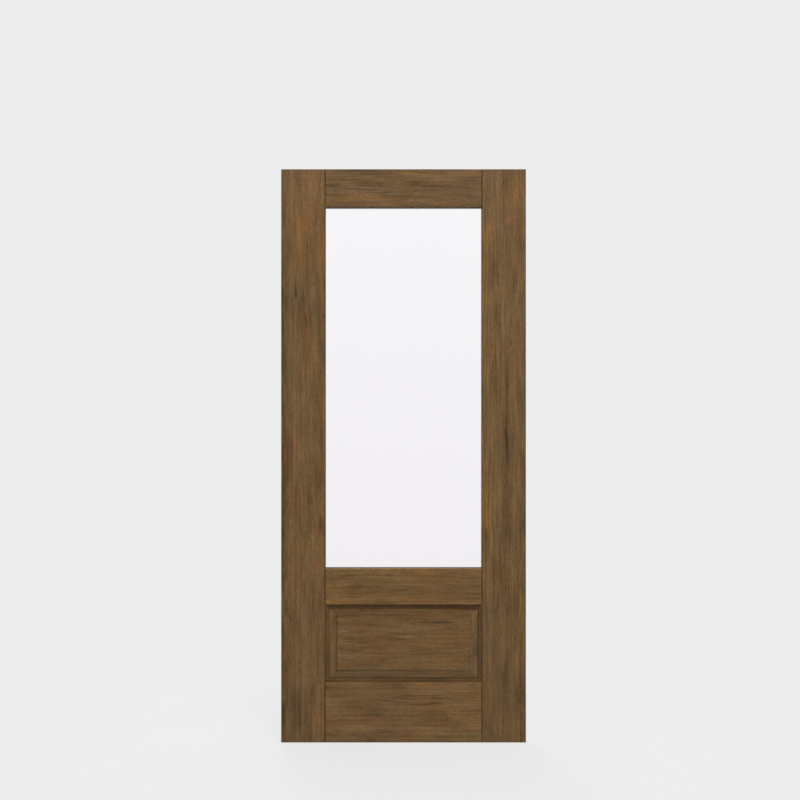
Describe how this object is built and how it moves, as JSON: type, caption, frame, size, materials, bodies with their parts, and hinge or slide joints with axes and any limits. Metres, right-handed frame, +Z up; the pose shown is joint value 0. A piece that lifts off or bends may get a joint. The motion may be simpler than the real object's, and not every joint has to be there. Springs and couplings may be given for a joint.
{
  "type": "exterior door",
  "caption": "Stained wood exterior door leaf with a tall clear double-glazed light above a raised panel, for hanging on hinges in a door frame",
  "frame": {"origin": "on the plain face of the hinge edge, at its bottom, in the middle of the leaf's thickness", "axes": "+X from the hinge edge to the lock edge, +Y from the outside face to the inside face, +Z up the leaf; seen from outside the hinge edge is on the left"},
  "size_m": [0.911, 0.0446, 2.134],
  "materials": {
    "stained_wood": "satin brown stain over open grain",
    "moulding_wood": "satin dark brown stain",
    "clear_glass": "clear polished",
    "spacer_metal": "bronze anodised",
    "glazing_tape": "matt dark brown"
  },
  "bodies": {
    "root": {"hinge_stile": "stained_wood", "lock_stile": "stained_wood", "top_rail": "stained_wood", "middle_rail": "stained_wood", "bottom_rail": "stained_wood", "raised_panel": "stained_wood", "outer_mould_top": "moulding_wood", "outer_mould_bottom": "moulding_wood", "outer_mould_hinge": "moulding_wood", "outer_mould_lock": "moulding_wood", "inner_mould_top": "moulding_wood", "inner_mould_bottom": "moulding_wood", "inner_mould_hinge": "moulding_wood", "inner_mould_lock": "moulding_wood", "bead_top": "moulding_wood", "bead_bottom": "moulding_wood", "bead_hinge": "moulding_wood", "bead_lock": "moulding_wood", "outer_pane": "clear_glass", "inner_pane": "clear_glass", "spacer_bar": "spacer_metal", "outer_tape": "glazing_tape", "inner_tape": "glazing_tape"}
  },
  "joints": []
}
